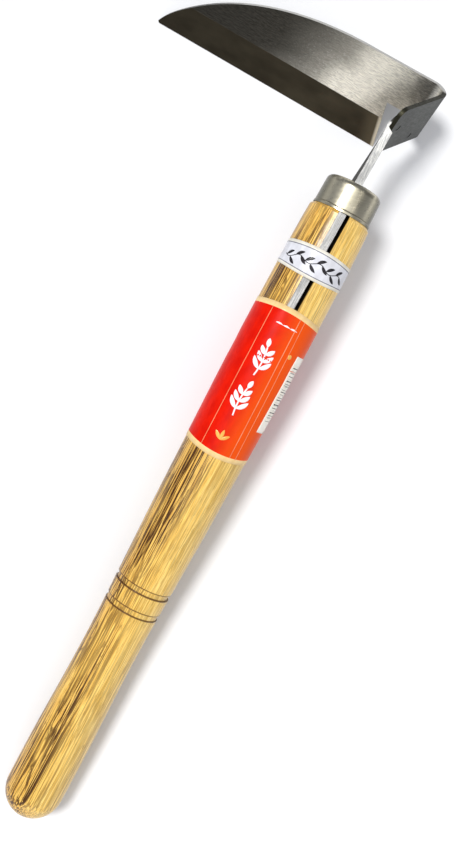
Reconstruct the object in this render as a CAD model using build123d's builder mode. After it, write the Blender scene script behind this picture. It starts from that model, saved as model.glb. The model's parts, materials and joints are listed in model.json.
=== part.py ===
"""Hand sickle for weeding: a folded sheet blade on a twisted steel tang in a turned wooden handle.

Every piece is built with the handle lying along +X, its butt end at the origin, the open tang
slot facing +Z and the blade reaching towards +Y.  At the end the whole tool is laid down so that
its butt and its cutting edge rest on z = 0, with the origin below the centre of its bounding box.
"""
from build123d import *
from math import atan2, cos, degrees, radians, sin, tan
import os

os.makedirs("parts", exist_ok=True)

# ---------------------------------------------------------------- driving dimensions, mm
# Handle: outer radius at stations along its length, from the end of the butt cylinder on
BUTT_R = 12.8
BUTT_CYLINDER_END = 28.0
HANDLE_STATIONS = [
    (BUTT_CYLINDER_END, BUTT_R),
    (57.0, 12.3),
    (83.0, 11.9),
    (112.0, 12.4),
    (148.0, 13.3),
    (187.0, 13.9),
    (230.0, 14.4),
    (262.0, 14.15),
    (284.0, 13.75),
]
SHOULDER_X = 290.0
SHOULDER_ROUND = 1.3
SHOULDER_SLOPE = -0.035
TENON_CHAMFER = 2.0
TENON_END_GAP = 0.3
GROOVE_X = [105.0, 115.0]
GROOVE_WIDTH = 2.6
GROOVE_FLOOR_R = 11.75
CUTTER_TOP = 20.0
CUTTER_END = 30.0

# Ferrule: a deep-drawn cap over the handle's tenon
FERRULE_RIM_R = 12.5
FERRULE_TOP_R = 12.1
FERRULE_WALL = 0.7
FERRULE_LENGTH = 13.2
FERRULE_CORNER = 2.4
FERRULE_LIP = 0.25
FERRULE_LIP_LENGTH = 0.9
FERRULE_LIP_SLOPE = 0.4
FERRULE_FIT = 0.02

# Tang: flat bar on edge, in a saw slot that opens towards +Z
TANG_THICK = 3.3
TANG_DEPTH = 11.0
TANG_TOP_IN_SLOT = 13.0
TANG_TOP_IN_FERRULE = 11.0
TANG_START_X = 186.0
TANG_HOOK_WIDTH = 4.0
TANG_HOOK_DROP = 9.0
TANG_Y = 1.5
TANG_ROLL = 9.0
TANG_YAW = -1.2
TANG_STEP_GAP = 0.3
SLOT_WIDTH = 4.9
SLOT_CLEAR = 0.05
SLOT_FLOOR_GAP = 0.5
NECK_START_X = SHOULDER_X + FERRULE_LENGTH + 0.5
NECK_OVERLAP = 0.5
NECK_END_X = 331.0
NECK_END_TOP = (-1.3, 8.3)
NECK_END_DEPTH = 14.0

# Blade sheet: flat blade, one fold at its heel, and the upright wall that the tang is welded to
SHEET = 1.8
EDGE_X = 327.9
EDGE_Z = -40.0
BLADE_PITCH = 40.0
BLADE_SKEW = 2.0
BLADE_LENGTH = 112.0
BLADE_WIDTH = 40.0
HEEL_CORNER = 1.9
BEVEL_WIDTH = 14.8
EDGE_THICK = 0.25
BACK_CURVE = [(51.0, 37.2), (82.0, 26.6), (104.0, 10.9)]
BACK_STRAIGHT_TO = 20.0
FOLD_AT = 15.65
FOLD_ACROSS = 20.0
FOLD_SKEW = -3.85
FOLD_ANGLE = 69.0
FOLD_OUTER_R = 6.0
WALL_HEIGHT = 40.0
WALL_LOW = -1.8
WALL_TOP = 20.0
WALL_CORNER_R = 4.0
NOTCH_TOP = 22.4
NOTCH_SIDE = 5.9
HEEL_FACET = 1.2
HEEL_FACET_TOP = 1.9
WELD_SPOTS = [(10.4, 35.1), (2.2, 18.5)]
WELD_SPOT_R = 1.3
WELD_SPOT_DEPTH = 0.15

# Tang head: plate on the inner face of the wall
HEAD_THICK = 2.6
HEAD_LOW = 13.0
HEAD_HIGH = 35.0
HEAD_NEAR = -0.8
HEAD_FAR = 13.0
HEAD_CORNER = 4.0

# Labels: thin printed films wrapped round the handle
FILM = 0.15
BAND_X = (260.3, 273.3)
BAND_BOW = 1.6
WRAP_X = (178.9, 247.1)
WRAP_BOW = 2.6

# Nail through the ferrule's underside
NAIL_X = SHOULDER_X + 5.5
NAIL_R = 0.8
NAIL_LENGTH = 9.0
NAIL_HEAD_R = 1.7
NAIL_HEAD_THICK = 0.7

# ---------------------------------------------------------------- planes of the folded sheet
edge_dir = Vector(sin(radians(BLADE_SKEW)), cos(radians(BLADE_SKEW)), 0)
width_dir = Vector(
    cos(radians(BLADE_PITCH)) * cos(radians(BLADE_SKEW)),
    -cos(radians(BLADE_PITCH)) * sin(radians(BLADE_SKEW)),
    sin(radians(BLADE_PITCH)),
)
blade_up = width_dir.cross(edge_dir)
edge_point = Vector(EDGE_X, 0, EDGE_Z)
fold_dir = width_dir * cos(radians(FOLD_SKEW)) + edge_dir * sin(radians(FOLD_SKEW))
fold_across = edge_dir * cos(radians(FOLD_SKEW)) - width_dir * sin(radians(FOLD_SKEW))
wall_up = fold_across * cos(radians(FOLD_ANGLE)) + blade_up * sin(radians(FOLD_ANGLE))
wall_out = blade_up * cos(radians(FOLD_ANGLE)) - fold_across * sin(radians(FOLD_ANGLE))
fold_point = edge_point + width_dir * FOLD_ACROSS - edge_dir * FOLD_AT

# where the sheet bends: set-back of the sharp corner, the wall's flat height and its direction
bend_setback = FOLD_OUTER_R / tan(radians(FOLD_ANGLE / 2))
wall_flat = WALL_HEIGHT - bend_setback
rise = Vector(cos(radians(FOLD_ANGLE)), sin(radians(FOLD_ANGLE)))

# underside of the blade: x runs away from the tip, y from the cutting edge to the back
blade_plane = Plane(origin=edge_point, x_dir=edge_dir * -1, z_dir=blade_up)
# cross-section of the sheet at the wall's lower end: x towards the tip, y up from the blade
fold_plane = Plane(origin=fold_point + fold_dir * WALL_LOW, x_dir=fold_across, z_dir=fold_dir)
# cross-section of the blade beyond its tip: x from the cutting edge to the back, y up
bevel_plane = Plane(
    origin=edge_point + edge_dir * (BLADE_LENGTH + 5), x_dir=width_dir, z_dir=edge_dir * -1
)
# outer face of the wall: x along the fold, y up the wall
wall_plane = Plane(origin=fold_point, x_dir=fold_dir, z_dir=wall_out)


def bend_start(along):
    """Where the flat blade ends and the bend begins, in the blade plane's own x and y."""
    place = fold_point + fold_across * bend_setback + fold_dir * along
    local = blade_plane.to_local_coords(place)
    return (local.X, local.Y)


# ---------------------------------------------------------------- planes of the tang
def tang_plane(origin, roll, yaw):
    """Plane of the flat bar: x along the bar, y up its depth, normal to its right-hand face."""
    along = Vector(1, 0, 0).rotate(Axis.Z, yaw)
    face = Vector(0, -cos(radians(roll)), -sin(radians(roll))).rotate(Axis.Z, yaw)
    return Plane(origin=origin, x_dir=along, z_dir=face)


slot_plane = tang_plane((SHOULDER_X, TANG_Y, 0), TANG_ROLL, TANG_YAW)


def handle_face(grow):
    """Half profile of the wooden body between the butt cylinder and the shoulder, grown outwards."""
    points = [(x, r + grow) for x, r in HANDLE_STATIONS]
    with BuildSketch(Plane.XY) as half:
        with BuildLine():
            curve = Spline(*points, tangents=[(1, 0), (1, SHOULDER_SLOPE)])
            Polyline(curve @ 1, (points[-1][0], 0), (points[0][0], 0), curve @ 0)
        make_face()
    return half.sketch


def film_outline(span, bow_low, bow_high):
    """Plan of a wrapped label: straight sides beyond the handle and two bowed ends."""
    side = BUTT_R + 4
    low, high = span
    with BuildSketch(Plane.XY) as plan:
        with BuildLine():
            first = ThreePointArc((low + bow_low, -side), (low, 0), (low + bow_low, side))
            second = ThreePointArc((high - bow_high, side), (high, 0), (high - bow_high, -side))
            Line(first @ 1, second @ 0)
            Line(second @ 1, first @ 0)
        make_face()
    return plan.sketch


# ---------------------------------------------------------------- handle
shoulder_r = HANDLE_STATIONS[-1][1] + SHOULDER_SLOPE * (SHOULDER_X - HANDLE_STATIONS[-1][0])
tenon_r = FERRULE_TOP_R - FERRULE_WALL
tenon_end = SHOULDER_X + FERRULE_LENGTH - FERRULE_WALL - TENON_END_GAP
with BuildPart() as handle:
    with BuildSketch(Plane.XY):
        with BuildLine():
            dome = CenterArc((BUTT_R, 0), BUTT_R, 90, 90)
            Line(dome @ 0, HANDLE_STATIONS[0])
            body = Spline(*HANDLE_STATIONS, tangents=[(1, 0), (1, SHOULDER_SLOPE)])
            Polyline(
                body @ 1,
                (SHOULDER_X - SHOULDER_ROUND, shoulder_r),
                (SHOULDER_X, shoulder_r - SHOULDER_ROUND * 0.8),
                (SHOULDER_X, tenon_r),
                (tenon_end - TENON_CHAMFER, tenon_r),
                (tenon_end, tenon_r - TENON_CHAMFER),
                (tenon_end, 0),
                dome @ 1,
            )
        make_face()
    revolve(axis=Axis.X)
    # two turned grooves
    with BuildSketch(Plane.XY):
        for groove_x in GROOVE_X:
            with Locations((groove_x, GROOVE_FLOOR_R)):
                Rectangle(GROOVE_WIDTH, 2.0, align=(Align.CENTER, Align.MIN))
    revolve(axis=Axis.X, mode=Mode.SUBTRACT)
    # saw slot for the tang, open along the upper side and through the tenon's end
    slot_start = TANG_START_X - SHOULDER_X - SLOT_FLOOR_GAP
    slot_bottom = TANG_TOP_IN_FERRULE - TANG_DEPTH - SLOT_FLOOR_GAP
    slot_shift = SLOT_WIDTH / 2 - TANG_THICK / 2 - SLOT_CLEAR
    with BuildSketch(slot_plane.offset(slot_shift)):
        with BuildLine():
            Polyline(
                (slot_start, CUTTER_TOP),
                (slot_start, slot_bottom),
                (CUTTER_END, slot_bottom),
                (CUTTER_END, CUTTER_TOP),
                close=True,
            )
        make_face()
    extrude(amount=SLOT_WIDTH / 2, both=True, mode=Mode.SUBTRACT)
    with BuildSketch(slot_plane):
        with Locations((TANG_START_X + TANG_HOOK_WIDTH / 2 - SHOULDER_X, slot_bottom)):
            Rectangle(TANG_HOOK_WIDTH + 0.1, 2 * (TANG_HOOK_DROP + 0.1))
    extrude(amount=TANG_THICK / 2 + SLOT_CLEAR, both=True, mode=Mode.SUBTRACT)
    # pilot hole for the nail
    with Locations(Plane((NAIL_X, 0, -tenon_r - 1), x_dir=(1, 0, 0), z_dir=(0, 0, -1))):
        Hole(NAIL_R, depth=NAIL_LENGTH)
handle.part.label = "handle"

# ---------------------------------------------------------------- ferrule
with BuildPart() as ferrule:
    ferrule_end = SHOULDER_X + FERRULE_LENGTH
    with BuildSketch(Plane.XY):
        with BuildLine():
            Polyline(
                (SHOULDER_X, 0),
                (SHOULDER_X, FERRULE_RIM_R + FERRULE_LIP),
                (SHOULDER_X + FERRULE_LIP_LENGTH, FERRULE_RIM_R + FERRULE_LIP),
                (SHOULDER_X + FERRULE_LIP_LENGTH + FERRULE_LIP_SLOPE, FERRULE_RIM_R),
                (ferrule_end, FERRULE_TOP_R),
                (ferrule_end, 0),
                close=True,
            )
        make_face()
    revolve(axis=Axis.X)
    fillet(ferrule.edges().filter_by(GeomType.CIRCLE).sort_by(Axis.X)[-1], FERRULE_CORNER)
    bore_r = FERRULE_TOP_R - FERRULE_WALL + FERRULE_FIT
    bore_end = ferrule_end - FERRULE_WALL
    bore_corner = FERRULE_CORNER * 0.7
    with BuildSketch(Plane.XY):
        with BuildLine():
            Polyline(
                (SHOULDER_X - 1, 0),
                (SHOULDER_X - 1, bore_r),
                (bore_end - bore_corner, bore_r),
                (bore_end, bore_r - bore_corner),
                (bore_end, 0),
                close=True,
            )
        make_face()
    revolve(axis=Axis.X, mode=Mode.SUBTRACT)
    # mouth for the tang
    with BuildSketch(slot_plane):
        with Locations((FERRULE_LENGTH, TANG_TOP_IN_FERRULE - TANG_DEPTH / 2)):
            Rectangle(6, TANG_DEPTH + 2 * SLOT_CLEAR)
    extrude(amount=TANG_THICK / 2 + SLOT_CLEAR, both=True, mode=Mode.SUBTRACT)
    with Locations(Plane((NAIL_X, 0, -FERRULE_RIM_R - 1), x_dir=(1, 0, 0), z_dir=(0, 0, -1))):
        Hole(NAIL_R, depth=4)
ferrule.part.label = "ferrule"

# ---------------------------------------------------------------- ferrule nail
with BuildPart() as nail:
    nail_plane = Plane((NAIL_X, 0, -FERRULE_RIM_R), x_dir=(1, 0, 0), z_dir=(0, 0, 1))
    with BuildSketch(nail_plane):
        Circle(NAIL_R - 0.02)
    extrude(amount=NAIL_LENGTH - 1.5)
    with BuildSketch(nail_plane):
        Circle(NAIL_HEAD_R)
    extrude(amount=-NAIL_HEAD_THICK)
    fillet(nail.edges().group_by(Axis.Z)[0], 0.3)
    chamfer(nail.edges().group_by(Axis.Z)[-1], 0.5)
nail.part.label = "ferrule_nail"

# ---------------------------------------------------------------- blade
with BuildPart() as blade:
    with BuildSketch(blade_plane):
        with BuildLine():
            back = Spline(
                (-BACK_STRAIGHT_TO, BLADE_WIDTH),
                *[(-along, across) for along, across in BACK_CURVE],
                (-BLADE_LENGTH, 0.8),
                tangents=[(-1, 0), (-0.55, -1)],
            )
            Polyline(
                back @ 1,
                (-BLADE_LENGTH + 0.6, 0),
                (-HEEL_CORNER, 0),
                (-NOTCH_SIDE, NOTCH_TOP),
                (bend_start(0)[0], NOTCH_TOP),
                bend_start(WALL_LOW + NOTCH_TOP - FOLD_ACROSS + 1.0),
                bend_start(WALL_TOP),
                back @ 0,
            )
        make_face()
    extrude(amount=SHEET)
    with BuildSketch(fold_plane):
        with BuildLine():
            outer_bend = JernArc((bend_setback, 0), (-1, 0), FOLD_OUTER_R, FOLD_ANGLE - 180)
            inner_bend = JernArc(
                (bend_setback, SHEET), (-1, 0), FOLD_OUTER_R - SHEET, FOLD_ANGLE - 180
            )
            outer_wall = Line(outer_bend @ 1, outer_bend @ 1 + rise * wall_flat)
            inner_wall = Line(inner_bend @ 1, inner_bend @ 1 + rise * wall_flat)
            Line(outer_bend @ 0, inner_bend @ 0)
            Line(outer_wall @ 1, inner_wall @ 1)
        make_face()
    extrude(amount=WALL_TOP - WALL_LOW)
    # rounded corners at the wall's free edge
    wall_corners = blade.edges().filter_by(Axis((0, 0, 0), wall_out))
    wall_corners = wall_corners.sort_by(Axis((0, 0, 0), wall_up))
    fillet(wall_corners[-2:], WALL_CORNER_R)
    # ground bevel along the cutting edge
    with BuildSketch(bevel_plane):
        with BuildLine():
            Polyline(
                (-1, EDGE_THICK - (SHEET - EDGE_THICK) / BEVEL_WIDTH),
                (BEVEL_WIDTH, SHEET),
                (BEVEL_WIDTH, SHEET + 2),
                (-1, SHEET + 2),
                close=True,
            )
        make_face()
    extrude(amount=BLADE_LENGTH + 5, mode=Mode.SUBTRACT)
    # narrow facet ground along the heel, between the bevel and the notch
    heel_dir = (edge_dir * (NOTCH_SIDE - HEEL_CORNER) + width_dir * NOTCH_TOP).normalized()
    heel_across = blade_up.cross(heel_dir) * -1
    heel_point = edge_point + edge_dir * HEEL_CORNER
    facet_slope = EDGE_THICK / HEEL_FACET
    facet_rise = (SHEET - facet_slope * HEEL_FACET_TOP) / BEVEL_WIDTH
    for along in (-1.0, BEVEL_WIDTH + 0.2):
        low = facet_rise * along
        with BuildSketch(Plane(heel_point + heel_dir * along, x_dir=heel_across, z_dir=heel_dir)):
            with BuildLine():
                Polyline(
                    (-1, low - facet_slope),
                    (4, low + facet_slope * 4),
                    (4, SHEET + 2),
                    (-1, SHEET + 2),
                    close=True,
                )
            make_face()
    loft(mode=Mode.SUBTRACT)
    # two shallow dimples left by the welding tips
    with Locations(wall_plane):
        with Locations(*WELD_SPOTS):
            Hole(WELD_SPOT_R, depth=WELD_SPOT_DEPTH)
blade.part.label = "blade"

# ---------------------------------------------------------------- tang
with BuildPart() as tang:
    # bar in the slot, with a step down where it enters the ferrule and a hook at its far end
    with BuildSketch(slot_plane):
        with BuildLine():
            bar_bottom = TANG_TOP_IN_FERRULE - TANG_DEPTH
            bar_start = TANG_START_X - SHOULDER_X
            bar_end = NECK_START_X - SHOULDER_X
            Polyline(
                (bar_start, TANG_TOP_IN_SLOT),
                (-TANG_STEP_GAP, TANG_TOP_IN_SLOT),
                (-TANG_STEP_GAP, TANG_TOP_IN_FERRULE),
                (bar_end, TANG_TOP_IN_FERRULE),
                (bar_end, bar_bottom),
                (bar_start + TANG_HOOK_WIDTH, bar_bottom),
                (bar_start + TANG_HOOK_WIDTH, bar_bottom - TANG_HOOK_DROP),
                (bar_start, bar_bottom - TANG_HOOK_DROP),
                close=True,
            )
        make_face()
    extrude(amount=TANG_THICK / 2, both=True)
    # neck: runs on from the ferrule, untwisting and deepening until it meets the wall
    neck_start = slot_plane.from_local_coords(
        Vector(NECK_START_X - SHOULDER_X - NECK_OVERLAP, TANG_TOP_IN_FERRULE, 0)
    )
    neck_end = Vector(NECK_END_X, *NECK_END_TOP)
    for top, roll, depth in ((neck_start, TANG_ROLL, TANG_DEPTH), (neck_end, 0.0, NECK_END_DEPTH)):
        across = Vector(0, cos(radians(roll)), sin(radians(roll)))
        with BuildSketch(Plane(top, x_dir=across, z_dir=(1, 0, 0))):
            Rectangle(TANG_THICK, depth, align=(Align.CENTER, Align.MAX))
    loft()
    # the neck's far side is ground away where the wall's inner face passes through it
    with BuildSketch(wall_plane.offset(-SHEET)):
        with Locations((WALL_LOW, 0)):
            Rectangle(WALL_TOP - WALL_LOW + 5, WALL_HEIGHT, align=(Align.MIN, Align.MIN))
    extrude(amount=SHEET + 15, mode=Mode.SUBTRACT)
    # head: plate lying on the wall's inner face
    with BuildSketch(wall_plane.offset(-SHEET)):
        with BuildLine():
            FilletPolyline(
                (HEAD_NEAR, HEAD_LOW),
                (HEAD_FAR, HEAD_LOW),
                (HEAD_FAR, HEAD_HIGH),
                (HEAD_NEAR, HEAD_HIGH),
                radius=HEAD_CORNER,
                close=True,
            )
        make_face()
    extrude(amount=-HEAD_THICK)
tang.part.label = "tang"

# ---------------------------------------------------------------- labels
core = Part() + revolve(handle_face(0), axis=Axis.X)
grown = Part() + revolve(handle_face(FILM), axis=Axis.X)
sleeve = grown - core

with BuildPart() as band_label:
    add(film_outline(BAND_X, BAND_BOW, BAND_BOW))
    extrude(amount=BUTT_R * 2, both=True)
    add(sleeve, mode=Mode.INTERSECT)
band_label.part.label = "band_label"

with BuildPart() as wrap_label:
    add(film_outline(WRAP_X, WRAP_BOW, WRAP_BOW))
    extrude(amount=BUTT_R * 2, both=True)
    add(sleeve, mode=Mode.INTERSECT)
wrap_label.part.label = "wrap_label"

# ---------------------------------------------------------------- lay the tool down and write it
pieces = {
    "handle": handle,
    "ferrule": ferrule,
    "ferrule_nail": nail,
    "blade": blade,
    "tang": tang,
    "band_label": band_label,
    "wrap_label": wrap_label,
}
rest_tilt = degrees(atan2(-EDGE_Z - BUTT_R, EDGE_X - BUTT_R))
tilted = Location((0, 0, 0), (0, -rest_tilt, 0))
box = Compound([piece.part.moved(tilted) for piece in pieces.values()]).bounding_box()
to_floor = Location((-box.center().X, -box.center().Y, -box.min.Z))
for name, piece in pieces.items():
    piece.part.move(to_floor * tilted)
    export_step(piece.part, f"parts/{name}.step")

butt = (to_floor * tilted * Location((BUTT_R, 0, 0))).position
print("rest tilt", round(rest_tilt, 3), "size", box.size)
print("centre of the butt cylinder's end", butt)
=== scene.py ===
"""The looks of the hand sickle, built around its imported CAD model, in metres."""
import json
import math

import bmesh
import bpy
from mathutils import Matrix, Vector
from mathutils.bvhtree import BVHTree


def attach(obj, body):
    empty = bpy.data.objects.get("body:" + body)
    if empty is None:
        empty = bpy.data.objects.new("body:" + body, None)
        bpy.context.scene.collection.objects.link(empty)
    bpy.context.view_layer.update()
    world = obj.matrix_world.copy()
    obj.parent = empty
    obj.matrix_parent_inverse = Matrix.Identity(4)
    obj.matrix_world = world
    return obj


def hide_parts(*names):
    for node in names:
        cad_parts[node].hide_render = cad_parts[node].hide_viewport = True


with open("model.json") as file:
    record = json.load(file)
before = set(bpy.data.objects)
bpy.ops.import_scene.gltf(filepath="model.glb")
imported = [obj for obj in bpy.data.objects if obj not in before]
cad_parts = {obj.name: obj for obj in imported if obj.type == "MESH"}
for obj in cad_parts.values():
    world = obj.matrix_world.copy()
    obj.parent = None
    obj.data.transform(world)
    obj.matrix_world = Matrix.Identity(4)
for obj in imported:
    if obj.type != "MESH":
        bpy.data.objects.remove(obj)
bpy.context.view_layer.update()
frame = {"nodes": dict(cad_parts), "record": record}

scene = bpy.context.scene
scene.view_settings.view_transform = "Standard"
MM = 0.001

# ---------------------------------------------------------------- the tool's own frames
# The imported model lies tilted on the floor.  The butt's mount gives the handle's axis, and the
# blade's mount gives the plane of its underside, at a known place from the heel, in mm along the
# edge and across the blade.
BLADE_MOUNT_AT = (55, 20)
mounts = {m["name"]: m for m in frame["record"]["mounts"]}
butt_mount = mounts["butt_end"]
blade_mount = mounts["blade_underside"]
ALONG = -Vector(butt_mount["axis"]).normalized()
LEFT = Vector((0.0, 1.0, 0.0))
UP = ALONG.cross(LEFT)
BUTT_R = butt_mount["dims"]["r_mm"]
BUTT_DEPTH = BUTT_R + butt_mount["dims"]["length_mm"] / 2
BUTT = Vector(butt_mount["pos_m"]) - ALONG * BUTT_DEPTH * MM

BLADE_UP = -Vector(blade_mount["axis"]).normalized()
EDGE_DIR = BLADE_UP.cross(UP).normalized()
WIDTH_DIR = EDGE_DIR.cross(BLADE_UP)
HEEL_TO_MOUNT = EDGE_DIR * BLADE_MOUNT_AT[0] + WIDTH_DIR * BLADE_MOUNT_AT[1]
HEEL = Vector(blade_mount["pos_m"]) - HEEL_TO_MOUNT * MM


def place(x, y, z):
    """A point given in mm along the handle from its butt, to its left and above its axis."""
    return BUTT + (ALONG * x + LEFT * y + UP * z) * MM


# ---------------------------------------------------------------- material helpers
class Shader:
    """A node material with short calls for the maths that the procedural patterns need."""

    def __init__(self, name, origin, x_dir, y_dir, z_dir):
        self.material = bpy.data.materials.new(name)
        self.material.use_nodes = True
        self.tree = self.material.node_tree
        self.bsdf = self.tree.nodes["Principled BSDF"]
        coords = self.tree.nodes.new("ShaderNodeTexCoord")
        mapping = self.tree.nodes.new("ShaderNodeMapping")
        mapping.vector_type = "TEXTURE"
        mapping.inputs["Location"].default_value = origin
        turned = Matrix((x_dir, y_dir, z_dir)).transposed().to_euler()
        mapping.inputs["Rotation"].default_value = turned
        mapping.inputs["Scale"].default_value = (MM, MM, MM)
        self.link(coords.outputs["Object"], mapping.inputs["Vector"])
        self.point = mapping.outputs["Vector"]
        parts = self.tree.nodes.new("ShaderNodeSeparateXYZ")
        self.link(self.point, parts.inputs[0])
        self.x, self.y, self.z = parts.outputs
        self.surface = self.tree.nodes.new("ShaderNodeNewGeometry").outputs["Normal"]

    def link(self, source, target):
        self.tree.links.new(source, target)

    def feed(self, socket, value):
        if isinstance(value, bpy.types.NodeSocket):
            self.link(value, socket)
        else:
            socket.default_value = value

    def maths(self, operation, *values, clamp=False):
        node = self.tree.nodes.new("ShaderNodeMath")
        node.operation = operation
        node.use_clamp = clamp
        for socket, value in zip(node.inputs, values):
            self.feed(socket, value)
        return node.outputs[0]

    def times(self, first, second, clamp=False):
        return self.maths("MULTIPLY", first, second, clamp=clamp)

    def plus(self, first, second):
        return self.maths("ADD", first, second)

    def minus(self, first, second):
        return self.maths("SUBTRACT", first, second)

    def ramp(self, value, low, high, to_low=0.0, to_high=1.0):
        """Smooth step of value from low to high, mapped onto to_low and to_high."""
        node = self.tree.nodes.new("ShaderNodeMapRange")
        node.interpolation_type = "SMOOTHSTEP"
        for key, number in zip(("Value", 1, 2, 3, 4), (value, low, high, to_low, to_high)):
            self.feed(node.inputs[key], number)
        return node.outputs["Result"]

    def band(self, value, centre, half, soft):
        """1 within half of centre, falling to 0 over soft."""
        away = self.maths("ABSOLUTE", self.minus(value, centre))
        return self.ramp(away, half, half + soft, 1.0, 0.0)

    def stretched(self, sizes, source=None, shift=(0, 0, 0)):
        """The point divided by a size along each axis, so that a noise cell has that size."""
        node = self.tree.nodes.new("ShaderNodeMapping")
        node.inputs["Location"].default_value = shift
        node.inputs["Scale"].default_value = [1 / size for size in sizes]
        self.link(source or self.point, node.inputs["Vector"])
        return node.outputs["Vector"]

    def combined(self, *values):
        """A vector of the values given for x, y and z, where a value left out is 0."""
        node = self.tree.nodes.new("ShaderNodeCombineXYZ")
        for socket, value in zip(node.inputs, values):
            self.feed(socket, value)
        return node.outputs[0]

    def facing(self, direction):
        """How squarely the surface faces a direction: 1 towards it, 0 edge on, -1 away."""
        node = self.tree.nodes.new("ShaderNodeVectorMath")
        node.operation = "DOT_PRODUCT"
        self.link(self.surface, node.inputs[0])
        node.inputs[1].default_value = direction
        return node.outputs["Value"]

    def noise(self, sizes, detail=2.0, rough=0.5, warp=0.0, source=None, shift=(0, 0, 0)):
        node = self.tree.nodes.new("ShaderNodeTexNoise")
        self.link(self.stretched(sizes, source, shift), node.inputs["Vector"])
        node.inputs["Scale"].default_value = 1.0
        node.inputs["Detail"].default_value = detail
        node.inputs["Roughness"].default_value = rough
        node.inputs["Distortion"].default_value = warp
        return node.outputs["Fac"]

    def mix(self, factor, first, second):
        node = self.tree.nodes.new("ShaderNodeMix")
        node.data_type = "RGBA"
        self.feed(node.inputs[0], factor)
        for socket, colour in ((node.inputs[6], first), (node.inputs[7], second)):
            self.feed(socket, (*colour, 1.0) if isinstance(colour, tuple) else colour)
        return node.outputs[2]

    def bump(self, height, distance, strength=1.0):
        node = self.tree.nodes.new("ShaderNodeBump")
        node.inputs["Strength"].default_value = strength
        node.inputs["Distance"].default_value = distance * MM
        self.link(height, node.inputs["Height"])
        self.link(node.outputs["Normal"], self.bsdf.inputs["Normal"])

    def set(self, **values):
        for key, value in values.items():
            self.feed(self.bsdf.inputs[key.replace("_", " ")], value)


def handle_shader(name):
    return Shader(name, BUTT, ALONG, LEFT, UP)


def blade_shader(name):
    """x runs along the cutting edge to the tip, y across to the back, z down from the underside."""
    return Shader(name, HEEL, EDGE_DIR, WIDTH_DIR, -BLADE_UP)


# ---------------------------------------------------------------- wood
# Places along the handle, from its butt: the turned grooves and half their width, and the start
# of the tang's slot, whose walls are painted near-black as shade inside this radius
GROOVES = (105.0, 115.0)
GROOVE_EDGE = 1.3
SLOT_START = 185.0
SLOT_SURFACE_R = 12.6
# Scorching grows from the first place to the second near the butt, and fades so near the ferrule
BUTT_SCORCH = (60.0, 10.0)
FERRULE_FADE = (240.0, 285.0)


def wood_material():
    s = handle_shader("handle_wood")
    # growth layers that slope across the handle, shaken by slow noise, give the figure
    shake = s.noise((70, 9, 9), detail=2.0)
    depth = s.plus(s.z, s.times(s.y, 0.35))
    ring = s.plus(depth, s.times(shake, 16.0))
    ring_point = s.combined(s.times(s.x, 0.012), ring, s.times(s.y, 0.6))
    rings = s.noise((1.0, 0.75, 1.6), detail=3.0, rough=0.6, source=ring_point)
    streaks = s.noise((34, 0.82, 0.82), detail=3.0, rough=0.6, warp=0.4)
    fibres = s.noise((16, 0.42, 0.42), detail=2.0, rough=0.6)
    patches = s.noise((48, 7, 7), detail=1.0, shift=(3.1, 0.4, 0.7))

    gold = s.mix(s.ramp(fibres, 0.3, 0.7), (0.73, 0.40, 0.064), (0.98, 0.66, 0.16))
    orange = s.mix(s.ramp(fibres, 0.3, 0.7), (0.49, 0.205, 0.029), (0.71, 0.365, 0.074))
    # painted shade: the left side turns a deeper orange, in patches
    left_shade = s.ramp(s.y, -3.0, 9.0, 0.05, 0.40)
    orange_shade_mask = s.times(s.ramp(patches, 0.35, 0.65, 0.5, 1.3), left_shade, clamp=True)
    colour = s.mix(orange_shade_mask, gold, orange)
    # painted light: the right side turns paler
    pale = s.mix(s.ramp(fibres, 0.3, 0.7), (0.80, 0.49, 0.10), (0.98, 0.72, 0.26))
    colour = s.mix(s.ramp(s.y, 1.0, -9.0, 0.0, 0.85), colour, pale)

    # scorched streaks, strongest on the left and towards the butt, fainter below the ferrule
    heavy = s.ramp(rings, 0.52, 0.64, 0.0, 0.88)
    fine = s.ramp(streaks, 0.50, 0.60)
    thread = s.noise((120, 0.62, 0.62), detail=2.0, rough=0.6, warp=0.3)
    lines = s.ramp(thread, 0.51, 0.58)
    near_butt = s.ramp(s.x, *BUTT_SCORCH, 0.0, 0.25)
    near_ferrule = s.ramp(s.x, *FERRULE_FADE, 0.0, -0.25)
    where = s.plus(s.ramp(patches, 0.38, 0.62, 0.60, 1.0), near_butt)
    where = s.plus(where, near_ferrule)
    where = s.times(where, s.ramp(s.y, -6.0, 7.0, 0.42, 1.20), clamp=True)
    lighter = s.maths("MAXIMUM", fine, lines)
    burn = s.times(s.maths("MAXIMUM", heavy, lighter), where)
    colour = s.mix(burn, colour, (0.062, 0.021, 0.002))
    # pores
    pores = s.ramp(s.noise((5.0, 0.28, 0.28), detail=1.0), 0.62, 0.72)
    colour = s.mix(s.times(pores, 0.45), colour, (0.12, 0.045, 0.010))
    # the friction-burnt edges of the turned grooves
    for groove in GROOVES:
        for side in (-GROOVE_EDGE, GROOVE_EDGE):
            line = s.band(s.x, groove + side, 0.18, 0.30)
            colour = s.mix(s.times(line, 0.82), colour, (0.085, 0.030, 0.008))
    # the slot's walls, painted near-black as shade inside the recess
    radius = s.maths("SQRT", s.plus(s.maths("POWER", s.y, 2.0), s.maths("POWER", s.z, 2.0)))
    slot_shade_depth = s.ramp(radius, SLOT_SURFACE_R + 0.3, SLOT_SURFACE_R - 0.5)
    inside = s.times(s.ramp(s.x, SLOT_START - 1, SLOT_START), slot_shade_depth)
    colour = s.mix(inside, colour, (0.020, 0.013, 0.009))

    s.set(Base_Color=colour, Roughness=s.ramp(fibres, 0.2, 0.8, 0.30, 0.42))
    s.set(Coat_Weight=0.25, Coat_Roughness=0.16, Specular_IOR_Level=0.25)
    relief = s.minus(fibres, s.plus(pores, s.times(burn, 0.5)))
    s.bump(relief, 0.05, 0.35)
    return s.material


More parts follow.
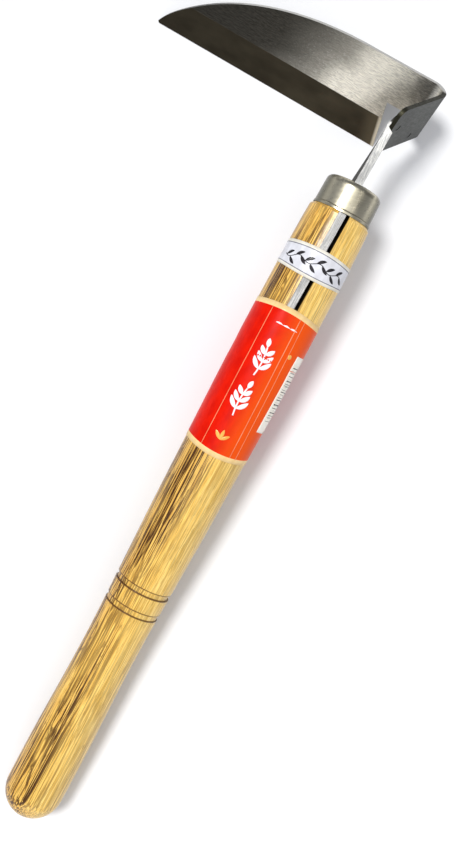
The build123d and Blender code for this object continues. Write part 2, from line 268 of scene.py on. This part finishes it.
# ---------------------------------------------------------------- steel
# The ground bevel's width, and the height above the underside at which the folded wall begins
BEVEL_WIDTH = 14.8
WALL_FOOT = 3.0
# The heel's cut leans 4 mm in 22.4 mm.  The facet beside it ends this far along the edge from the
# heel's corner, and a painted highlight fades out along the bevel over the next few mm.
HEEL_LEAN = 4.0 / 22.4
HEEL_FACET_END = 3.8
HEEL_HIGHLIGHT_REACH = 8.0
# The fold line is skewed to the blade's width, and the sheet is folded up by this angle
FOLD_SKEW = math.radians(-3.85)
FOLD_ANGLE = math.radians(69.0)
FOLD_ACROSS = EDGE_DIR * math.cos(FOLD_SKEW) - WIDTH_DIR * math.sin(FOLD_SKEW)
WALL_OUT = BLADE_UP * math.cos(FOLD_ANGLE) - FOLD_ACROSS * math.sin(FOLD_ANGLE)


def blade_material():
    s = blade_shader("blade_steel")
    # rolled finish: fine wavy streaks along the cutting edge
    sway = s.times(s.noise((5, 4, 4), detail=2.0), 1.3)
    swayed = s.combined(s.x, s.plus(s.y, sway), s.z)
    streaks = s.noise((3.2, 0.38, 2.0), detail=3.0, rough=0.65, source=swayed)
    specks = s.noise((1.1, 0.55, 0.55), detail=2.0, rough=0.6)
    clouds = s.noise((26, 14, 14), detail=3.0, rough=0.55)

    # painted reflection along the sheet: dark at the tip, bright by the heel, dark again round the bend
    lean = s.plus(s.x, s.times(s.y, 0.6))
    lean = s.plus(lean, s.times(clouds, 16.0))
    tip = s.maths("POWER", s.ramp(lean, 90.0, 42.0), 1.3)
    tip = s.times(tip, s.ramp(lean, 60.0, 44.0, 0.5, 1.0))
    colour = s.mix(tip, (0.036, 0.034, 0.028), (1.0, 0.96, 0.84))
    # a slight painted dimming by the heel, part of the same reflection
    heel_reflection_dim = s.ramp(s.plus(s.x, s.times(s.y, 0.87)), 34.0, 27.0)
    colour = s.mix(s.times(heel_reflection_dim, 0.32), colour, (0.22, 0.19, 0.145))
    bend = s.times(s.band(s.x, -4.0, 1.6, 3.2), s.ramp(s.y, 20.0, 30.0))
    colour = s.mix(s.times(bend, 0.20), colour, (0.10, 0.095, 0.08))
    streak_tone = s.ramp(streaks, 0.38, 0.62, 0.0, 1.0)
    dark_streak = s.times(s.minus(1.0, streak_tone), 0.44)
    colour = s.mix(dark_streak, colour, (0.11, 0.10, 0.085))
    # bright specks, scaled by the painted reflection so that they show only where it is bright
    bright_speck = s.times(s.ramp(specks, 0.56, 0.70), s.times(tip, 0.50))
    colour = s.mix(bright_speck, colour, (0.95, 0.93, 0.86))

    # the folded wall beyond the bend is painted darker as shade, inside and out
    height = s.times(s.z, -1.0)
    wall = s.ramp(height, WALL_FOOT, WALL_FOOT + 2.5)
    wall_shade_tone = s.mix(s.ramp(clouds, 0.3, 0.7), (0.048, 0.050, 0.046), (0.075, 0.078, 0.072))
    colour = s.mix(wall, colour, wall_shade_tone)

    # bevel: ground smooth, painted dark as polished steel's reflection, with a painted highlight on the
    # heel's facet fading along the bevel
    in_bevel = s.ramp(s.y, BEVEL_WIDTH + 0.15, BEVEL_WIDTH - 0.15)
    bevel = s.times(in_bevel, s.ramp(height, 0.02, 0.12))
    bevel_reflection_tone = s.mix(s.ramp(clouds, 0.3, 0.7), (0.029, 0.024, 0.016), (0.050, 0.042, 0.028))
    colour = s.mix(bevel, colour, bevel_reflection_tone)
    heel_side = s.minus(s.x, s.times(s.y, HEEL_LEAN))
    heel_highlight_fade = s.times(s.ramp(heel_side, HEEL_FACET_END + HEEL_HIGHLIGHT_REACH, HEEL_FACET_END, 0.0, 0.30), bevel)
    colour = s.mix(heel_highlight_fade, colour, (0.20, 0.17, 0.11))
    facet_highlight = s.times(s.ramp(heel_side, HEEL_FACET_END, HEEL_FACET_END - 1.2), bevel)
    colour = s.mix(facet_highlight, colour, (0.56, 0.53, 0.42))

    # sheared edges of the sheet: a painted highlight along the back, painted shade round the wall
    flat = s.maths("ABSOLUTE", s.facing(BLADE_UP))
    out = s.maths("ABSOLUTE", s.facing(WALL_OUT))
    cut = s.times(s.ramp(flat, 0.35, 0.2), s.ramp(out, 0.6, 0.4))
    back_edge_highlight = s.times(cut, s.minus(1.0, wall))
    colour = s.mix(back_edge_highlight, colour, (0.50, 0.49, 0.46))
    wall_edge_shade = s.times(s.ramp(out, 0.6, 0.4), wall)
    colour = s.mix(wall_edge_shade, colour, (0.040, 0.038, 0.026))

    smooth = s.maths("MAXIMUM", bevel, wall)
    roughness = s.plus(0.30, s.times(streak_tone, 0.10))
    roughness = s.plus(roughness, s.times(wall, 0.14))
    s.set(Base_Color=colour, Metallic=1.0, Roughness=roughness)
    relief = s.times(s.minus(1.0, smooth), s.plus(streaks, specks))
    s.bump(relief, 0.09, 0.7)
    return s.material


# Where along the handle the tang's neck gives way to its head, painted dark as shade under the wall
HEAD_START = 330.0


def tang_material():
    s = handle_shader("tang_steel")
    drawn = s.noise((9.0, 0.35, 0.35), detail=3.0, rough=0.6)
    grit = s.noise((0.7, 0.7, 0.7), detail=3.0, rough=0.65)
    colour = s.mix(s.ramp(drawn, 0.3, 0.7), (0.30, 0.30, 0.30), (0.62, 0.61, 0.58))
    colour = s.mix(s.times(s.ramp(grit, 0.52, 0.70), 0.45), colour, (0.20, 0.185, 0.16))
    # the bar's flat sides and its head are painted dark as shade, below the sheared top
    side = s.maths("MAXIMUM", s.ramp(s.facing(UP), 0.9, 0.7), s.ramp(s.x, HEAD_START, HEAD_START + 2.0))
    side_shade_tone = s.mix(s.ramp(grit, 0.3, 0.7), (0.020, 0.019, 0.015), (0.050, 0.047, 0.040))
    colour = s.mix(side, colour, side_shade_tone)
    roughness = s.plus(s.ramp(grit, 0.3, 0.7, 0.28, 0.45), s.times(side, 0.35))
    s.set(Base_Color=colour, Roughness=roughness)
    s.set(Metallic=s.minus(1.0, s.times(side, 0.8)))
    s.bump(s.plus(drawn, grit), 0.10, 0.5)
    return s.material


# The ferrule's radius, the places of its lip and of its drawn corner along the handle, and how far
# its drawing marks slant for each radian round it
FERRULE_R = 12.3
FERRULE_LIP = 291.35
FERRULE_CORNER = 301.5
BRUSH_SLANT = 3.0


def ferrule_material():
    s = handle_shader("ferrule_steel")
    # drawing marks run round the cap on a slight slant
    turn = s.maths("ARCTAN2", s.y, s.z)
    slanted = s.plus(s.x, s.times(turn, BRUSH_SLANT))
    unrolled = s.combined(s.times(turn, FERRULE_R), slanted)
    bands = s.noise((7.0, 26.0, 1.0), detail=1.0, source=unrolled)
    brush = s.noise((8.0, 0.30, 1.0), detail=2.0, source=unrolled)
    spots = s.noise((2.4, 2.4, 2.4), detail=3.0, rough=0.6)
    colour = s.mix(s.ramp(bands, 0.34, 0.60), (0.37, 0.34, 0.255), (0.57, 0.525, 0.40))
    colour = s.mix(s.times(s.ramp(brush, 0.45, 0.75), 0.30), colour, (0.74, 0.69, 0.55))
    # painted shade down both sides; darker spots on the drawn corner, and a darker line along the lip
    side = s.maths("MAXIMUM", s.ramp(s.y, 6.6, 11.0), s.ramp(s.y, -8.6, -11.8))
    colour = s.mix(s.times(side, 0.92), colour, (0.075, 0.070, 0.045))
    corner = s.times(s.band(s.x, FERRULE_CORNER, 0.5, 0.8), s.ramp(spots, 0.42, 0.58))
    colour = s.mix(s.times(corner, 0.6), colour, (0.17, 0.155, 0.12))
    lip = s.band(s.x, FERRULE_LIP, 0.10, 0.25)
    colour = s.mix(s.times(lip, 0.7), colour, (0.14, 0.12, 0.08))
    s.set(Base_Color=colour, Roughness=s.ramp(spots, 0.3, 0.7, 0.26, 0.38))
    s.set(Metallic=s.minus(1.0, s.times(side, 0.7)))
    s.bump(s.plus(brush, spots), 0.04, 0.35)
    return s.material


def nail_material():
    s = handle_shader("nail_steel")
    scratches = s.noise((0.5, 0.12, 0.5), detail=2.0)
    rust = s.noise((0.8, 0.8, 0.8), detail=3.0, rough=0.65)
    colour = s.mix(s.ramp(scratches, 0.35, 0.65), (0.45, 0.44, 0.43), (0.66, 0.65, 0.64))
    colour = s.mix(s.times(s.ramp(rust, 0.55, 0.70), 0.5), colour, (0.22, 0.12, 0.06))
    s.set(Base_Color=colour, Metallic=1.0, Roughness=s.ramp(rust, 0.3, 0.7, 0.25, 0.5))
    s.bump(scratches, 0.03, 0.4)
    return s.material


# ---------------------------------------------------------------- printed films
def film_material(name, low, high, roughness=0.38, coat=0.12, right=None):
    """Printed film between two tones, with the faint wrinkles of shrunk film.

    The tone can shift towards another one on the handle's right."""
    s = handle_shader(name)
    blotch = s.noise((6, 3, 3), detail=2.0)
    colour = s.mix(s.ramp(blotch, 0.3, 0.7), low, high)
    if right:
        colour = s.mix(s.ramp(s.y, 3.0, -9.0, 0.0, 0.9), colour, right)
    grain = s.noise((0.5, 0.5, 0.5), detail=2.0)
    s.set(Base_Color=colour, Roughness=s.ramp(grain, 0.3, 0.7, roughness - 0.04, roughness + 0.04))
    s.set(Coat_Weight=coat, Coat_Roughness=0.12, Specular_IOR_Level=0.06)
    wrinkle = s.noise((30, 1.6, 1.6), detail=1.0)
    s.bump(s.plus(wrinkle, s.times(grain, 0.2)), 0.05, 0.3)
    return s.material


# How far film and ink stand off the CAD's sleeves and how thick they are, in mm.  Strokes of ink
# take turns at three heights a step apart, so that crossing ones don't share a surface.
FILM_LIFT = 0.02
FILM_THICK = 0.12
PRINT_LIFT = 0.05
PRINT_STEP = 0.004
PRINT_THICK = 0.03
# The sides of a sleeve seen from its end
ROUND_STEPS = 96
# A sleeve's ends would be bowed in full at this distance from the handle's axis
BOW_REACH = BUTT_R + 4
# A height above the axis, in mm, that is clear of the whole handle
ABOVE_ALL = 40


def sleeve_radius(node):
    """Outer radius of a sleeve's CAD solid as a function of x, measured along its top."""
    mesh = frame["nodes"][node].data
    mesh.calc_loop_triangles()
    corners = [v.co.copy() for v in mesh.vertices]
    tree = BVHTree.FromPolygons(corners, [t.vertices[:] for t in mesh.loop_triangles])

    def at(x):
        start = place(x, 0, ABOVE_ALL)
        hit = tree.ray_cast(start, -UP)[0]
        return (hit - BUTT).dot(UP) / MM

    return at


class Wrap:
    """A sleeve's surface, on which points are given as x along the handle and the angle round it.

    The angle is 0 on top and grows to the right, and the two ends are bowed as the CAD's are."""

    def __init__(self, node, span, bow, samples=12):
        self.low, self.high = span
        self.bow = bow
        measure = sleeve_radius(node)
        inset = 0.1
        step = (self.high - self.low - 2 * inset) / samples
        self.stations = [self.low + inset + step * i for i in range(samples + 1)]
        self.radii = [measure(x) for x in self.stations]

    def radius(self, x):
        share = (x - self.stations[0]) / (self.stations[-1] - self.stations[0])
        share = min(max(share, 0.0), 1.0) * (len(self.radii) - 1)
        index = min(int(share), len(self.radii) - 2)
        blend = share - index
        return self.radii[index] * (1 - blend) + self.radii[index + 1] * blend

    def point(self, x, angle, lift):
        r = self.radius(x) + lift
        return place(x, -r * math.sin(angle), r * math.cos(angle))

    def end_shift(self, angle):
        """How far an end lies inside its furthest point, at this angle."""
        side = abs(math.sin(angle)) * self.radii[0] / BOW_REACH
        return self.bow * side * side


def new_piece(name, mesh):
    piece = bpy.data.objects.new(name, mesh)
    scene.collection.objects.link(piece)
    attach(piece, "root")
    return piece


def film_sleeve(name, wrap, rows, node, materials):
    """A thin sleeve that stands for a CAD node, whose part it hides.

    Each row gives x as a function of the angle.  The first and last strips get the second
    material, and the rest get the first."""
    bm = bmesh.new()
    rings = []
    for x_of in rows:
        ring = []
        for i in range(ROUND_STEPS):
            angle = 2 * math.pi * i / ROUND_STEPS
            ring.append(bm.verts.new(wrap.point(x_of(angle), angle, FILM_LIFT)))
        rings.append(ring)
    for k in range(len(rings) - 1):
        for i in range(ROUND_STEPS):
            j = (i + 1) % ROUND_STEPS
            face = bm.faces.new((rings[k][i], rings[k][j], rings[k + 1][j], rings[k + 1][i]))
            face.smooth = True
            edge_row = k in (0, len(rings) - 2)
            face.material_index = 1 if edge_row else 0
    bmesh.ops.recalc_face_normals(bm, faces=bm.faces)
    mesh = bpy.data.meshes.new(name)
    bm.to_mesh(mesh)
    bm.free()
    for material in materials:
        mesh.materials.append(material)
    piece = new_piece(name, mesh)
    outward = mesh.polygons[0].normal.dot(mesh.polygons[0].center - place(wrap.low, 0, 0))
    thick = piece.modifiers.new("film", "SOLIDIFY")
    thick.thickness = FILM_THICK * MM
    thick.offset = -1.0 if outward > 0 else 1.0
    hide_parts(node)
    return piece


def bowed_rows(wrap, border, inner):
    """Rows from the low end to the high end: the end, its border line, the middle, and back."""
    low, high = wrap.low, wrap.high

    def row(base, sign, inset):
        return lambda angle: base + sign * (inset + wrap.end_shift(angle))

    rows = [row(low, 1, 0.0), row(low, 1, border)]
    for i in range(1, inner):
        share = i / inner
        start = row(low, 1, border)
        stop = row(high, -1, border)
        rows.append(lambda angle, a=start, b=stop, t=share: a(angle) * (1 - t) + b(angle) * t)
    rows += [row(high, -1, border), row(high, -1, 0.0)]
    return rows


class Print:
    """Ink laid on a wrap, and the label's painted reflection lines: brush strokes and dots as thin raised
    ribbons of one colour.
    """

    def __init__(self, wrap):
        self.wrap = wrap
        self.bm = bmesh.new()
        self.level = 0

    def stroke(self, points, width, across=3, spread=None):
        """A ribbon along (x, arc) points in mm; spread(t) scales its width from 0 to 1 along it."""
        path = [Vector(p) for p in points]
        lift = PRINT_LIFT + PRINT_STEP * (self.level % 3)
        self.level += 1
        r = self.wrap.radius(path[0].x)
        rows = []
        for i, here in enumerate(path):
            ahead = path[min(i + 1, len(path) - 1)] - path[max(i - 1, 0)]
            side = Vector((-ahead.y, ahead.x)).normalized()
            t = i / (len(path) - 1)
            half = width / 2 * (spread(t) if spread else 1.0)
            row = []
            for k in range(across + 1):
                at = here + side * half * (2 * k / across - 1)
                row.append(self.bm.verts.new(self.wrap.point(at.x, at.y / r, lift)))
            rows.append(row)
        for a, b in zip(rows, rows[1:]):
            for k in range(across):
                face = self.bm.faces.new((a[k], b[k], b[k + 1], a[k + 1]))
                face.smooth = True

    def finish(self, name, material):
        bmesh.ops.remove_doubles(self.bm, verts=self.bm.verts, dist=1e-7)
        bmesh.ops.dissolve_degenerate(self.bm, edges=self.bm.edges, dist=1e-7)
        mesh = bpy.data.meshes.new(name)
        self.bm.to_mesh(mesh)
        self.bm.free()
        mesh.materials.append(material)
        piece = new_piece(name, mesh)
        ink = piece.modifiers.new("ink", "SOLIDIFY")
        ink.thickness = PRINT_THICK * MM
        ink.offset = 0.0
        return piece


def straight(start, stop, steps):
    """Points of a straight stroke between two points given as (x, arc)."""
    start, stop = Vector(start), Vector(stop)
    return [start.lerp(stop, i / steps) for i in range(steps + 1)]


def arc_points(x, arc, angle, length, bend, steps=12):
    """Points of a curved stroke that starts at (x, arc), heads along angle and bends evenly."""
    points = [Vector((x, arc))]
    heading = math.radians(angle)
    for _ in range(steps):
        heading += math.radians(bend) / steps
        points.append(points[-1] + Vector((math.cos(heading), math.sin(heading))) * length / steps)
    return points


# The width of a stroke as a share of its full width, where t runs from 0 to 1 along it
def leaf_shape(t):
    return max(math.sin(math.pi * t) ** 0.75, 0.02)


def brush_shape(t):
    if t < 0.8:
        return 0.35 + 0.65 * math.sin(math.pi * t * 1.25)
    return 1.75 * (1 - t) + 0.02


def round_shape(t):
    return max(math.sqrt(max(1 - (2 * t - 1) ** 2, 0)), 0.05)


def sprig(ink, x, arc, size, lean, pairs=3):
    """A generic leafy sprig: a bent stem with leaves in pairs and one at its end."""
    stem = arc_points(x, arc, lean, size, -lean * 2)
    ink.stroke(stem, size * 0.05, across=2)
    # each pair is a little shorter than the one before
    for i in range(pairs):
        at = stem[3 + i * 3]
        for side in (-1, 1):
            leaf = arc_points(at.x, at.y, side * 62, size * (0.46 - 0.06 * i), -side * 36)
            ink.stroke(leaf, size * 0.155, spread=leaf_shape)
    end = stem[-1]
    ink.stroke(arc_points(end.x, end.y, -lean, size * 0.30, 0), size * 0.155, spread=leaf_shape)


# ---------------------------------------------------------------- wrap label
# Places in mm: along the handle from its butt, and as the arc from the top of the handle, which
# grows to the right
WRAP_SPAN = (178.95, 247.05)
WRAP_BOW = 2.6
WRAP_BORDER = 2.2
# Each painted reflection line: its arc at the ferrule's end and at the butt's end, and its width
REFLECTION_LINES = ((-6.9, -6.9, 0.32), (5.9, 7.2, 0.40), (8.2, 10.2, 0.34))
REFLECTION_INSET = 0.4
# Each sprig: its foot, and its lean in degrees
SPRIGS = (((216.2, -0.6), 12), ((197.8, -0.4), -12))
SPRIG_SIZE = 12.6
DASH_X = 239.4
DASH_ARCS = (-2.6, 0.6, 3.8)
DASH_LENGTH = 3.4
DASH_WIDTH = 0.7
FAN_FOOT = (186.6, -0.4)
FAN_HEADINGS = (-48, 0, 48)
FAN_LEAF_LENGTH = 4.4
FAN_LEAF_WIDTH = 1.5
DOT_EDGE = (230.2, 9.6)
DOT_SIZE = 2.0
PANEL_SPAN = (195.8, 231.0)
PANEL_ARC = 19.6
PANEL_WIDTH = 12.0
BAR_SPAN = (200.0, 226.0)
BAR_ARCS = (15.0, 23.5)
BAR_WIDTHS = (0.5, 0.25, 0.8, 0.35, 0.25, 0.6, 0.3, 0.9, 0.25, 0.45, 0.7, 0.3)
BAR_GAP = 0.75
BAR_SHARE = 0.8


def paint_label_reflections(wrap):
    """Pale lines from end to end of the label, painted as the glossy film's reflected highlights."""
    lines = Print(wrap)
    start = wrap.high - WRAP_BORDER - REFLECTION_INSET
    stop = wrap.low + WRAP_BORDER + REFLECTION_INSET
    for first, last, width in REFLECTION_LINES:
        lines.stroke(straight((start, first), (stop, last), 20), width, across=2)
    # the pale orange of the painted reflection lines
    orange = film_material("reflection_line_paint", (0.80, 0.20, 0.09), (0.86, 0.30, 0.15))
    lines.finish("wrap_reflection_lines", orange)


def print_art(wrap):
    """Two sprigs, and three dashes above them."""
    art = Print(wrap)
    for foot, lean in SPRIGS:
        sprig(art, *foot, SPRIG_SIZE, lean)
    for arc in DASH_ARCS:
        art.stroke(arc_points(DASH_X, arc, 75, DASH_LENGTH, 30), DASH_WIDTH, spread=brush_shape)
    white = film_material("ink_white", (0.86, 0.80, 0.84), (0.93, 0.90, 0.92))
    art.finish("wrap_art", white)


def print_emblem(wrap):
    """A fan of three leaves near the butt's end, and a dot beside the painted reflection lines."""
    gold = film_material("ink_gold", (0.80, 0.33, 0.05), (0.88, 0.50, 0.12), 0.30, 0.5)
    emblem = Print(wrap)
    for heading in FAN_HEADINGS:
        emblem.stroke(arc_points(*FAN_FOOT, heading, FAN_LEAF_LENGTH, 0), FAN_LEAF_WIDTH, spread=leaf_shape)
    emblem.stroke(arc_points(*DOT_EDGE, 180, DOT_SIZE, 0), DOT_SIZE, spread=round_shape)
    emblem.finish("wrap_emblem", gold)


def print_panel(wrap):
    """A pale panel at the label's right, with plain dark bars of mixed widths."""
    panel = Print(wrap)
    low, high = PANEL_SPAN
    panel.stroke(straight((high, PANEL_ARC), (low, PANEL_ARC), 16), PANEL_WIDTH, across=16)
    pale = film_material("ink_panel", (0.88, 0.82, 0.70), (0.92, 0.88, 0.80), coat=0.4)
    panel.finish("wrap_panel", pale)

    bars = Print(wrap)
    bars.level = 2
    near, far = BAR_ARCS
    low, x = BAR_SPAN
    for width in BAR_WIDTHS * 2:
        if x - width < low:
            break
        bars.stroke(straight((x, near), (x, far), 10), width * BAR_SHARE, across=1)
        x -= width + BAR_GAP
    dark = film_material("ink_dark", (0.030, 0.026, 0.030), (0.050, 0.045, 0.048))
    bars.finish("wrap_bars", dark)


def add_wrap_label():
    wrap = Wrap("wrap_label", WRAP_SPAN, WRAP_BOW)
    red = film_material(
        "wrap_red", (0.60, 0.006, 0.001), (0.72, 0.010, 0.001), 0.32, 0.02, right=(0.82, 0.095, 0.008)
    )
    cream = film_material("wrap_cream", (0.80, 0.55, 0.24), (0.86, 0.63, 0.31))
    film_sleeve("wrap_film", wrap, bowed_rows(wrap, WRAP_BORDER, 14), "wrap_label", (red, cream))
    paint_label_reflections(wrap)
    print_art(wrap)
    print_emblem(wrap)
    print_panel(wrap)


# ---------------------------------------------------------------- band label
BAND_SPAN = (260.35, 273.25)
BAND_BOW = 1.6
BAND_BORDER = 1.15
BAND_LINE_INSET = 0.25
BAND_LINE_WIDTH = 0.32
# The vine's stem reaches this arc on both sides of the top and sways in waves, with a leaf at every
# third of its steps
VINE_REACH = 14.6
VINE_SWAY = 0.9
VINE_WAVE = 9.7
VINE_STEPS = 36
VINE_STEM_WIDTH = 0.32
LEAF_EVERY = 3
LEAF_LENGTH = 4.3
LEAF_WIDTH = 1.35


def print_band_lines(wrap):
    """A fine line inside each border, all the way round."""
    grey = Print(wrap)
    for base, sign in ((wrap.low, 1), (wrap.high, -1)):
        points = []
        for i in range(ROUND_STEPS + 1):
            angle = 2 * math.pi * i / ROUND_STEPS
            x = base + sign * (BAND_BORDER + BAND_LINE_INSET + wrap.end_shift(angle))
            points.append((x, angle * wrap.radii[0]))
        grey.stroke(points, BAND_LINE_WIDTH, across=1)
    ink = film_material("ink_grey", (0.16, 0.16, 0.18), (0.22, 0.22, 0.24))
    grey.finish("band_lines", ink)


def print_vine(wrap):
    """A leafy vine across the top of the band, with leaves on alternate sides."""
    dark = Print(wrap)
    middle = (wrap.low + wrap.high) / 2
    vine = []
    for i in range(VINE_STEPS + 1):
        arc = VINE_REACH * (2 * i / VINE_STEPS - 1)
        sway = VINE_SWAY * math.sin(2 * math.pi * arc / VINE_WAVE)
        vine.append((middle - wrap.end_shift(arc / wrap.radii[0]) + sway, arc))
    dark.stroke(vine, VINE_STEM_WIDTH, across=2)
    for i in range(1, VINE_STEPS, LEAF_EVERY):
        side = 1 if i % 2 else -1
        leaf = arc_points(*vine[i], 90 - side * 52, LEAF_LENGTH, side * 30)
        dark.stroke(leaf, LEAF_WIDTH, spread=leaf_shape)
    black = film_material("ink_black", (0.018, 0.016, 0.020), (0.032, 0.030, 0.034))
    dark.finish("band_marks", black)


def add_band_label():
    wrap = Wrap("band_label", BAND_SPAN, BAND_BOW)
    silver = film_material("band_silver", (0.62, 0.62, 0.66), (0.74, 0.74, 0.79), 0.30, 0.2)
    cream = film_material("band_cream", (0.72, 0.68, 0.58), (0.80, 0.77, 0.68))
    film_sleeve("band_film", wrap, bowed_rows(wrap, BAND_BORDER, 6), "band_label", (silver, cream))
    print_band_lines(wrap)
    print_vine(wrap)


# ---------------------------------------------------------------- floor, lights, camera
# Half the floor's side, in metres
FLOOR_HALF = 30.0


def add_floor():
    bm = bmesh.new()
    bmesh.ops.create_grid(bm, x_segments=8, y_segments=8, size=FLOOR_HALF)
    mesh = bpy.data.meshes.new("floor")
    bm.to_mesh(mesh)
    bm.free()
    floor = bpy.data.objects.new("floor", mesh)
    scene.collection.objects.link(floor)
    s = Shader("floor_white", (0, 0, 0), Vector((1, 0, 0)), Vector((0, 1, 0)), Vector((0, 0, 1)))
    colour = s.mix(s.noise((400, 400, 400)), (0.80, 0.80, 0.815), (0.82, 0.82, 0.83))
    s.set(Base_Color=colour, Roughness=0.9, Specular_IOR_Level=0.1)
    mesh.materials.append(s.material)


def aim(light, target):
    light.rotation_euler = (light.location - target).to_track_quat("Z", "Y").to_euler()


def add_light(name, kind, location, energy, colour=(1, 1, 1), **values):
    data = bpy.data.lights.new(name, kind)
    data.energy = energy
    data.color = colour
    for key, value in values.items():
        setattr(data, key, value)
    light = bpy.data.objects.new(name, data)
    scene.collection.objects.link(light)
    light.location = location
    aim(light, Vector((0, 0, 0.02)))
    return light


def add_lights():
    world = bpy.data.worlds.new("world")
    scene.world = world
    world.use_nodes = True
    background = world.node_tree.nodes["Background"]
    background.inputs["Color"].default_value = (0.87, 0.91, 1.0, 1)
    background.inputs["Strength"].default_value = 0.37
    # the bare backdrop beyond the floor is as pale as the floor, but doesn't light the object more
    white = world.node_tree.nodes.new("ShaderNodeBackground")
    white.inputs["Color"].default_value = (0.97, 0.975, 1.0, 1)
    seen = world.node_tree.nodes.new("ShaderNodeLightPath")
    choice = world.node_tree.nodes.new("ShaderNodeMixShader")
    output = world.node_tree.nodes["World Output"]
    links = world.node_tree.links
    links.new(seen.outputs["Is Camera Ray"], choice.inputs[0])
    links.new(background.outputs[0], choice.inputs[1])
    links.new(white.outputs[0], choice.inputs[2])
    links.new(choice.outputs[0], output.inputs["Surface"])
    add_light("key", "SUN", (0.10, 0.29, 0.95), 2.5, (1.0, 1.0, 0.99), angle=math.radians(15))
    add_light("top", "AREA", (0.05, -0.10, 1.10), 2.3, (1.0, 1.0, 0.99), size=0.8)
    add_light("card", "AREA", (-1.15, -0.22, 0.34), 3.2, (1.0, 0.98, 0.94), size=0.75)
    add_light("strip", "AREA", (0.02, -0.42, 0.62), 0.35, (1.0, 0.97, 0.92),
              shape="RECTANGLE", size=0.65, size_y=0.07)


# The camera's place from the butt, in mm: along the handle, above its axis and to its left.  It looks
# down, tilted back towards the butt, and the handle stands this many degrees steep in the picture.
# The focal length is given as a share of the picture's height.
CAMERA_FOOT = 237.0
CAMERA_HEIGHT = 450.0
CAMERA_SIDE = -1.5
CAMERA_TILT = 5.5
CAMERA_TURN = 61.9
FOCAL_PER_HEIGHT = 1.2751
SENSOR = 36.0


def add_camera():
    data = bpy.data.cameras.new("camera")
    data.sensor_fit = "VERTICAL"
    data.sensor_height = SENSOR
    data.lens = SENSOR * FOCAL_PER_HEIGHT
    data.clip_start = 0.01
    camera = bpy.data.objects.new("camera", data)
    scene.collection.objects.link(camera)
    tilt = math.radians(CAMERA_TILT)
    look = -(UP * math.cos(tilt) + ALONG * math.sin(tilt))
    forward = ALONG * math.cos(tilt) - UP * math.sin(tilt)
    turn = math.radians(CAMERA_TURN)
    # the handle runs up and to the right in the picture
    up = forward * math.sin(turn) + LEFT * math.cos(turn)
    right = look.cross(up)
    matrix = Matrix((right, up, -look)).transposed().to_4x4()
    matrix.translation = place(CAMERA_FOOT, CAMERA_SIDE, CAMERA_HEIGHT)
    camera.matrix_world = matrix
    scene.camera = camera


# ---------------------------------------------------------------- build
def dress(node, material):
    """A CAD piece keeps its shape and gets this material."""
    mesh = frame["nodes"][node].data
    mesh.materials.clear()
    mesh.materials.append(material)


dress("handle", wood_material())
dress("blade", blade_material())
dress("tang", tang_material())
dress("ferrule", ferrule_material())
dress("ferrule_nail", nail_material())
add_wrap_label()
add_band_label()
add_floor()
add_lights()
add_camera()
